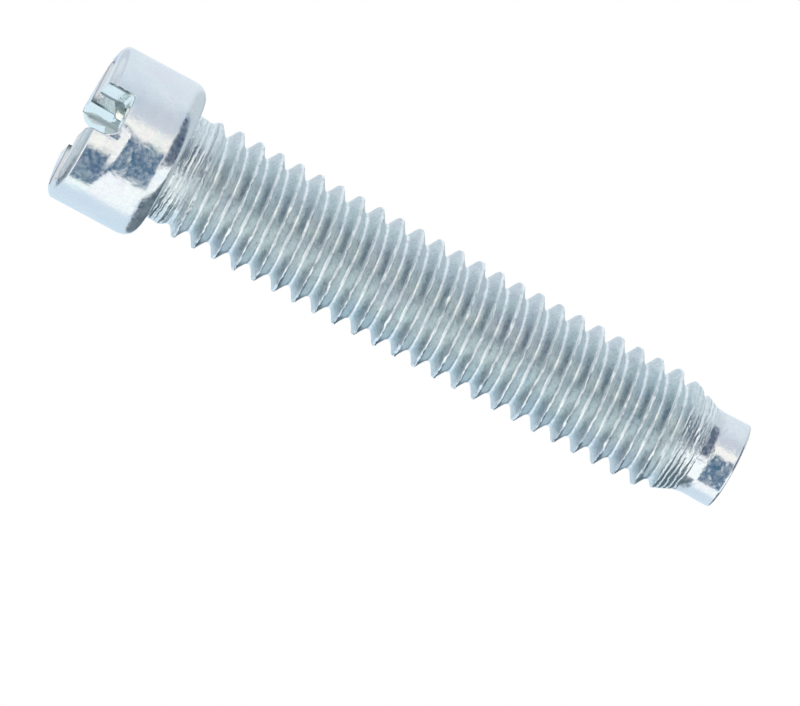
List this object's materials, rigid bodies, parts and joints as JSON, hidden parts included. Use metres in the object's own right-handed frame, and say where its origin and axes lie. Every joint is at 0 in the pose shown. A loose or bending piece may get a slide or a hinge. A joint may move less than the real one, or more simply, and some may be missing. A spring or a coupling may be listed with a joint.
{
  "type": "derailleur adjustment screw",
  "caption": "Machine screw with a deep cylindrical head, combined slot and cross drive, right-hand M4 thread and a plain dog point.",
  "frame": {"origin": "centre of the head's end face, which the screw stands on", "axes": "+Z along the screw's axis from the head to the point; the straight slot runs along Y"},
  "size_m": [0.0052, 0.0052, 0.0226],
  "materials": {
    "plated_steel": "bright zinc plating"
  },
  "bodies": {
    "root": {"screw": "plated_steel"}
  },
  "joints": []
}
